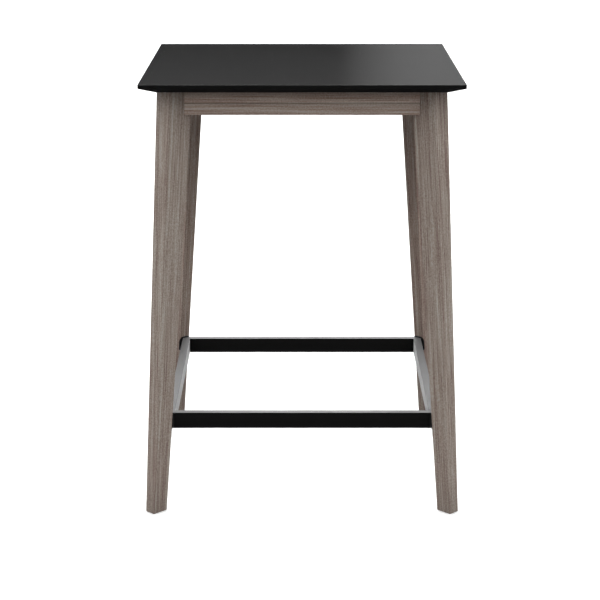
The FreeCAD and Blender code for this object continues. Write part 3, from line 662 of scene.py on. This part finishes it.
# %% Hanger bolts
WASHER_RADIUS, WASHER_GAUGE, NUT_HEIGHT, BOLT_END = 0.008, 0.0016, 0.0065, 0.005
BOLT_SPACING = 0.022
PAIR = np.array([-0.5, 0.5])
BOLT_LEVELS = APRON_MIDDLE + BOLT_SPACING * PAIR
BRACKET_BACK = ROOT_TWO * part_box("leg_bolt_washers")[1][0] - WASHER_RADIUS
BOLT_TIP = ROOT_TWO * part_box("leg_bolts")[1][0]
BOLT_TAIL = BRACKET_BACK - WASHER_GAUGE - NUT_HEIGHT - BOLT_END


def on_bolts(reach):
    """Places of eight pieces on the bolts' axes: outward x distance from the middle + up x level."""
    return (OUTWARD[:, None] * reach + UP * BOLT_LEVELS[:, None]).reshape(-1, 3)


bolt_axes = axes_along(np.repeat(OUTWARD, 2, axis=0), UP)
bolt = hanger_bolt(BOLT_TIP - BOLT_TAIL, leg_faces(APRON_MIDDLE)[0] - BOLT_TAIL)
bolts = copies(bolt, bolt_axes, on_bolts(BOLT_TAIL))
surface("hanger_bolts", bolts, zinc_plate, "leg_bolts")

# %% [markdown]
# ## Nuts and washers
# A nut is a hexagon whose corners were cut back by a cone at both ends, which leaves the curved
# edges that every nut shows. A Bevel modifier would cut all its edges alike, so instead its radius
# is the least of the hexagon and the two cones. A washer is stamped, so its edges are a little
# round.

# %% Shapes of a nut and a washer
NUT_FLATS, NUT_BORE, NUT_LEAD = 0.013, 0.00405, 0.0006
NUT_RIM, NUT_CONE = 0.95, 1.2 * ROOT_TWO  # the rim's share of the flats, and the cone's slope


def hexagon(columns):
    """Radius of a hexagon with a corner at column 0: flats / 2 / cos(turn from a flat's middle)."""
    turn = np.arange(columns) * (2 * np.pi / columns)
    return NUT_FLATS / 2 / np.cos(np.mod(turn, np.pi / 3) - np.pi / 6)


def nut(columns=72, side_rows=17):
    """A ring of rows: the bore, one face, the sides, the other face and back to the bore. On the
    sides, radius = least of the hexagon and rim + slope x distance to the nearer end."""
    sides = NUT_HEIGHT * (0.5 - 0.5 * np.cos(np.linspace(0, np.pi, side_rows)))
    cone = NUT_RIM * NUT_FLATS / 2 + NUT_CONE * np.minimum(sides, NUT_HEIGHT - sides)
    outside = np.minimum(hexagon(columns), cone[:, None])
    ends = np.array([NUT_BORE, NUT_BORE + NUT_LEAD])[:, None] * np.ones(columns)
    levels = np.concatenate([[NUT_LEAD, 0.0], sides, [NUT_HEIGHT, NUT_HEIGHT - NUT_LEAD]])
    return lathe(np.concatenate([ends, outside, ends[::-1]]), levels, columns)


def washer(columns=48, edge_rows=4):
    """A flat ring with its edges rounded by a quarter of its thickness: ease (sin t, 1 - cos t)."""
    ease = WASHER_GAUGE / 4
    turn = np.linspace(0, np.pi / 2, edge_rows)
    out, up = ease * np.sin(turn), ease * (1 - np.cos(turn))
    rim = np.concatenate([WASHER_RADIUS - ease + out, WASHER_RADIUS - ease + out[::-1]])
    hole = np.concatenate([NUT_BORE + ease - out, NUT_BORE + ease - out[::-1]])
    low, high = up, WASHER_GAUGE - up[::-1]
    levels = np.concatenate([low, high, high[::-1], low[::-1]])
    return lathe(np.concatenate([rim, hole]), levels, columns)


print("a nut is", round(2000 * hexagon(6).max(), 1), "mm over its corners")

# %% Nuts and washers
washers = copies(washer(), bolt_axes, on_bolts(BRACKET_BACK - WASHER_GAUGE))
nuts = copies(nut(), bolt_axes, on_bolts(BRACKET_BACK - WASHER_GAUGE - NUT_HEIGHT))
surface("bolt_washers", washers, zinc_plate, "leg_bolt_washers", closed=True)
surface("bolt_nuts", nuts, zinc_plate, "leg_bolt_nuts", closed=True)

# %% [markdown]
# ## Screws
# The brackets and the clips are held by pan head wood screws, and the footrest's plates by
# countersunk ones. Both have a cross recess: two arms with sloping walls, deepest in the middle.
# A Boolean could cut the recess, but it leaves ragged faces. Here the head is a height over its own
# plan, so the recess is simply taken off that height.

# %% Shape of a screw
RECESS_WIDTH, RECESS_REACH = 0.30, 0.62  # as shares of the head's width and of its radius
RECESS_DEPTH, WALL_START, WALL_SLOPE, ARM_SLOPE = 0.0018, 3.0, 2.6, 2.2
SCREW_CREST, POINT_SLOPE = 2.0, 0.5


def recess(x, y, head):
    """Depth of a cross recess at (x, y). It falls off across an arm and along it: depth x
    clip(start - slope near / half width) x clip(arm slope (1 - far / reach))."""
    near, far = np.minimum(np.abs(x), np.abs(y)), np.maximum(np.abs(x), np.abs(y))
    across = np.clip(WALL_START - WALL_SLOPE * near / (RECESS_WIDTH * head / 2), 0, 1)
    return RECESS_DEPTH * across * np.clip(ARM_SLOPE * (1 - far / (RECESS_REACH * head)), 0, 1)


def shank(radius, core, pitch, first, length, columns, steps=7):
    """Rows of a wood screw's shank: a sharp crest that climbs one pitch a turn, down to a point.
    Radius = least of core + (R - core) crest and slope x distance to the point."""
    level = np.append(np.arange(first, length, pitch / steps), length)
    thread = core + (radius - core) * crests(level, pitch, columns, SCREW_CREST)
    point = (length - level) * POINT_SLOPE
    return np.minimum(thread, point[:, None]), np.repeat(level[:, None], columns, axis=1)


def screw(head, height, radius, core, pitch, length, sunk, columns=48, rings=20):
    """A screw along Z with its seat at 0. Over a plan radius u of the head, from 0 to 1, a pan head
    stands height (1 - u^4)^(1/2) above the seat and a sunk one lies flat in it. The recess is taken
    off both."""
    share = np.sin(np.linspace(0, np.pi / 2, rings))
    plan = lathe(head * share, np.zeros(rings), columns)
    crown = np.zeros(rings) if sunk else height * np.sqrt(np.clip(1 - share**4, 0, 1))
    top = recess(plan[..., 0], plan[..., 1], head) - crown[:, None]
    first = head - radius if sunk else 0.0
    stem, levels = shank(radius, core, pitch, first, length, columns)
    outline = np.concatenate([np.repeat(head * share[:, None], columns, axis=1), stem])
    return lathe(outline, np.concatenate([top, levels]), columns)


print("recess", round(1000 * RECESS_DEPTH, 1), "mm deep")

# %% Places of the screws
BRACKET_FACE, BRACKET_FLANGE, BRACKET_SPREAD = BRACKET_BACK + PLATE_GAUGE, 0.036, 0.020
BRACKET_SCREW = ROOT_TWO * BRACKET_FACE - APRON_BACK - BRACKET_FLANGE / 2
CLIP_ROOM, CLIP_SPREAD, CLIP_GAUGE, CLIP_FLANGE = 0.0002, 0.300, 0.002, 0.026
CLIP_BACK = APRON_BACK - CLIP_ROOM
CLIP_SCREW = CLIP_BACK - CLIP_GAUGE - (CLIP_FLANGE - CLIP_GAUGE) / 2
PLATE_DROP, PLATE_SPREAD = 0.013, 0.013  # of the plate's screws: below the tube, and apart


def side_axes(local):
    """One set of axes turned to the four sides of the table, about Z."""
    turn = np.radians(list(SIDES.values()))
    cos, sin, none, one = np.cos(turn), np.sin(turn), np.zeros(4), np.ones(4)
    rows = np.array([[cos, -sin, none], [sin, cos, none], [none, none, one]])
    return rows.transpose(2, 0, 1) @ local


def on_sides(places):
    """Places given for the front of the table, repeated on its four sides."""
    return np.einsum("sij,pj->spi", side_axes(np.eye(3)), places).reshape(-1, 3)


bracket_places = on_sides([(across, -(APRON_BACK - PLATE_GAUGE), APRON_MIDDLE + level)
                           for across in (-BRACKET_SCREW, BRACKET_SCREW)
                           for level in BRACKET_SPREAD * PAIR])
clip_places = on_sides([(across, -CLIP_SCREW, UNDERSIDE - CLIP_GAUGE)
                        for across in CLIP_SPREAD * PAIR])
plate_middle = OUTWARD * leg_faces(TUBE_MIDDLE)[0] + UP * TUBE_MIDDLE
plate_level = (TUBE_HIGH - TUBE_LOW) / 2 + PLATE_DROP
plate_line = plate_middle - FACE_UP * plate_level - INTO_LEG * PLATE_GAUGE
plate_places = plate_line[:, None] + ACROSS[:, None] * (PLATE_SPREAD * PAIR)[:, None]
plate_places = plate_places.reshape(-1, 3)
print(len(bracket_places), len(clip_places), len(plate_places), "screws")

# %% Screws
PAN_SHANK = (0.0020, 0.0013, 0.0018, 0.015)  # radius, core, pitch and length
SUNK_SHANK = (0.0022, 0.0015, 0.0020, 0.028)
PAN_CROWN, BRACKET_HEAD, CLIP_HEAD, SUNK_HEAD = 0.0026, 0.0040, 0.0042, 0.0044

facing_front, facing_up = axes_along((0.0, -1.0, 0.0), UP), np.eye(3)
bracket_axes = np.repeat(side_axes(facing_front), 4, axis=0)
flange_axes = np.repeat(side_axes(facing_up), 2, axis=0)
sunk_axes = np.repeat(axes_along(INTO_LEG, FACE_UP), 2, axis=0)

bracket_screw = screw(BRACKET_HEAD, PAN_CROWN, *PAN_SHANK, sunk=False)
clip_screw = screw(CLIP_HEAD, PAN_CROWN, *PAN_SHANK, sunk=False)
sunk_screw = screw(SUNK_HEAD, 0.0, *SUNK_SHANK, sunk=True)
surface("bracket_pan_screws", copies(bracket_screw, bracket_axes, bracket_places),
        zinc_plate, "bracket_screws")
surface("clip_pan_screws", copies(clip_screw, flange_axes, clip_places),
        zinc_plate, "top_clip_screws")
surface("plate_sunk_screws", copies(sunk_screw, sunk_axes, plate_places),
        black_oxide, "footrest_screws")

# %% [markdown]
# ## Clips under the board
# A clip is a strip of steel bent twice: a tongue in the apron's saw kerf, a riser, and a flange
# screwed to the board. Three joined boxes would give sharp folds, but a press brake leaves a
# quarter circle at each bend, so the section of the strip is carried along its bent path.

# %% Path and section of a clip
CLIP_TONGUE, CLIP_BEND, KERF_DROP = 0.008, 0.0024, 0.010


def bent_path(bend_steps=7):
    """Middle line of the strip as (outwards, up): straight runs, with a quarter circle of
    bend (1 - sin t, 1 - cos t) into the riser and the same out of it, turned round."""
    tongue, flange = UNDERSIDE - KERF_DROP - CLIP_GAUGE / 2, UNDERSIDE - CLIP_GAUGE / 2
    riser = CLIP_BACK - CLIP_GAUGE / 2
    turn = np.linspace(0, np.pi / 2, bend_steps)
    by_sine, by_cosine = CLIP_BEND * (1 - np.sin(turn)), CLIP_BEND * (1 - np.cos(turn))
    low = np.stack([riser + by_sine, tongue + by_cosine], axis=-1)
    high = np.stack([riser - by_cosine, flange - by_sine], axis=-1)
    first, last = (CLIP_BACK + CLIP_TONGUE, tongue), (CLIP_BACK - CLIP_FLANGE, flange)
    return np.concatenate([[first], low, high, [last]])


def strip(path, width, gauge, ease, corner_steps=4):
    """A rounded rectangle carried along a path in the X-Z plane: path + normal a + Y b, with the
    normal square to the slope of the path. The ends close on the middle of the section."""
    corner = np.repeat(np.arange(4), corner_steps) * np.pi / 2
    turn = corner + np.tile(np.linspace(0, np.pi / 2, corner_steps), 4)
    middle = corner + np.pi / 4
    a = np.sign(np.cos(middle)) * (gauge / 2 - ease) + ease * np.cos(turn)
    b = np.sign(np.sin(middle)) * (width / 2 - ease) + ease * np.sin(turn)
    slope = np.gradient(path, axis=0)
    slope /= np.linalg.norm(slope, axis=1, keepdims=True)
    normal = np.stack([-slope[:, 1], slope[:, 0]], axis=-1)
    flat = path[:, None] + normal[:, None] * a[:, None]
    grid = np.stack([flat[..., 0], np.broadcast_to(b, flat.shape[:2]), flat[..., 1]], axis=-1)
    line = np.stack([path[:, 0], np.zeros(len(path)), path[:, 1]], axis=-1)
    ends = line[[0, -1], None] * np.ones((1, len(a), 1))
    return np.concatenate([ends[:1], grid, ends[1:]])


print("a clip's path has", len(bent_path()), "points")

# %% Clips
CLIP_WIDTH, CLIP_EASE = 0.030, 0.0006

clip = strip(bent_path(), CLIP_WIDTH, CLIP_GAUGE, CLIP_EASE)
outward_axes = np.array([[0.0, 1.0, 0.0], [-1.0, 0.0, 0.0], [0.0, 0.0, 1.0]])
clip_axes = np.repeat(side_axes(outward_axes), 2, axis=0)
clip_shift = on_sides([(across, 0.0, 0.0) for across in CLIP_SPREAD * PAIR])
surface("bent_clips", copies(clip, clip_axes, clip_shift), zinc_plate, "top_clips")

# %% [markdown]
# ## Glides
# Each foot stands on a nail-in glide: a nylon button, flat where it slides and rounded up to its
# rim so that it rides over joints in a floor, with a pin into the end of the leg. A bevelled
# cylinder would come close, but a profile swung round the axis gives the dome and the pin at once.

# %% Glides
GLIDE_RADIUS, GLIDE_FLAT = 0.010, 0.0065
GLIDE_DOME = 0.8  # share of the glide's height
PIN_RADIUS, PIN_LENGTH, PIN_POINT = 0.0015, 0.014, 0.003
foot_middle = sum(leg_faces(FOOT_LEVEL)) / 2


def glide(columns=48, dome_rows=9):
    """A turned button: flat to GLIDE_FLAT, then a quarter ellipse up to the rim, and the pin above."""
    turn = np.linspace(0, np.pi / 2, dome_rows)
    sole = GLIDE_FLAT + (GLIDE_RADIUS - GLIDE_FLAT) * np.sin(turn)
    rise = GLIDE_DOME * FOOT_LEVEL * (1 - np.cos(turn))
    radii = np.concatenate([[0.0], sole, [GLIDE_RADIUS, PIN_RADIUS, PIN_RADIUS, 0.0]])
    pin_top = FOOT_LEVEL + PIN_LENGTH
    above = [FOOT_LEVEL, FOOT_LEVEL, pin_top - PIN_POINT, pin_top]
    return lathe(radii, np.concatenate([[0.0], rise, above]), columns)


for corner, outward in zip(CORNERS, OUTWARD):
    button = copies(glide(), np.eye(3)[None], [outward * foot_middle])
    surface(f"domed_glide_{corner}", button, moulded_nylon, f"glide_{corner}")

# %% [markdown]
# ## Welds
# The ring's corners are welded to their plates all the way round. A smooth tube along the joint
# would look like a rubber seal: a weld is a row of small frozen waves, so its radius swells and
# falls along its path. The path is the outline of the cut corner on the plate, wider above than
# below because the plate leans.

# %% Path of a weld
WELD_CORNER = 0.0015
RING_OUTER = -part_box("footrest_front")[0][1]
plate_face = leg_faces(TUBE_MIDDLE)[0] - PLATE_GAUGE / math.cos(FACE_LEAN)
seat_half = RING_OUTER * ROOT_TWO - plate_face
tube_half = (TUBE_HIGH - TUBE_LOW) / 2 / math.cos(FACE_LEAN)


def weld_path(count, corner_points=9):
    """Even steps round a rounded rectangle: corner centres + radius (cos t, sin t), with the
    straight runs between the corners. Its width grows with height by the lean of the plate."""
    points = 4 * corner_points
    turn = np.linspace(0, 2 * np.pi, points, endpoint=False) + np.pi / points
    circle = np.stack([np.cos(turn), np.sin(turn)], axis=-1)
    centres = np.sign(circle) * (np.array([seat_half, tube_half]) - WELD_CORNER)
    line = centres + WELD_CORNER * circle
    line = np.concatenate([line, line[:1]])
    run = np.append(0.0, np.cumsum(np.linalg.norm(np.diff(line, axis=0), axis=1)))
    steps = np.linspace(0, run[-1], count, endpoint=False)
    path = np.stack([np.interp(steps, run, line[:, axis]) for axis in (0, 1)], axis=-1)
    path[:, 0] *= 1 + path[:, 1] * math.tan(FACE_LEAN) / seat_half
    return path, steps


print("a weld goes round", round(2000 * seat_half, 1), "by", round(2000 * tube_half, 1), "mm")

# %% Weld beads
WELD_RADIUS, WELD_RIPPLE, WELD_WAVE = 0.0020, 0.10, 0.0018


def weld_bead(count=400, columns=12):
    """A tube round the path: path + r (sideways cos t + Z sin t), with
    r = R (1 + ripple sin(2 pi s / wave))."""
    path, steps = weld_path(count)
    slope = np.roll(path, -1, axis=0) - np.roll(path, 1, axis=0)
    sideways = np.stack([slope[:, 1], -slope[:, 0]], axis=-1)
    sideways /= np.linalg.norm(slope, axis=1, keepdims=True)
    turn = np.arange(columns) * (2 * np.pi / columns)
    radius = WELD_RADIUS * (1 + WELD_RIPPLE * np.sin(2 * np.pi * steps / WELD_WAVE))[:, None]
    flat = path[:, None] + sideways[:, None] * (radius * np.cos(turn))[..., None]
    return np.concatenate([flat, (radius * np.sin(turn))[..., None]], axis=-1)


weld_axes = np.stack([ACROSS, FACE_UP, -INTO_LEG], axis=-1)
weld_places = plate_middle - INTO_LEG * PLATE_GAUGE
for corner, axes, middle in zip(CORNERS, weld_axes, weld_places):
    bead = copies(weld_bead(), axes[None], middle[None])
    surface(f"weld_{corner}", bead, powder_coat, closed=True)
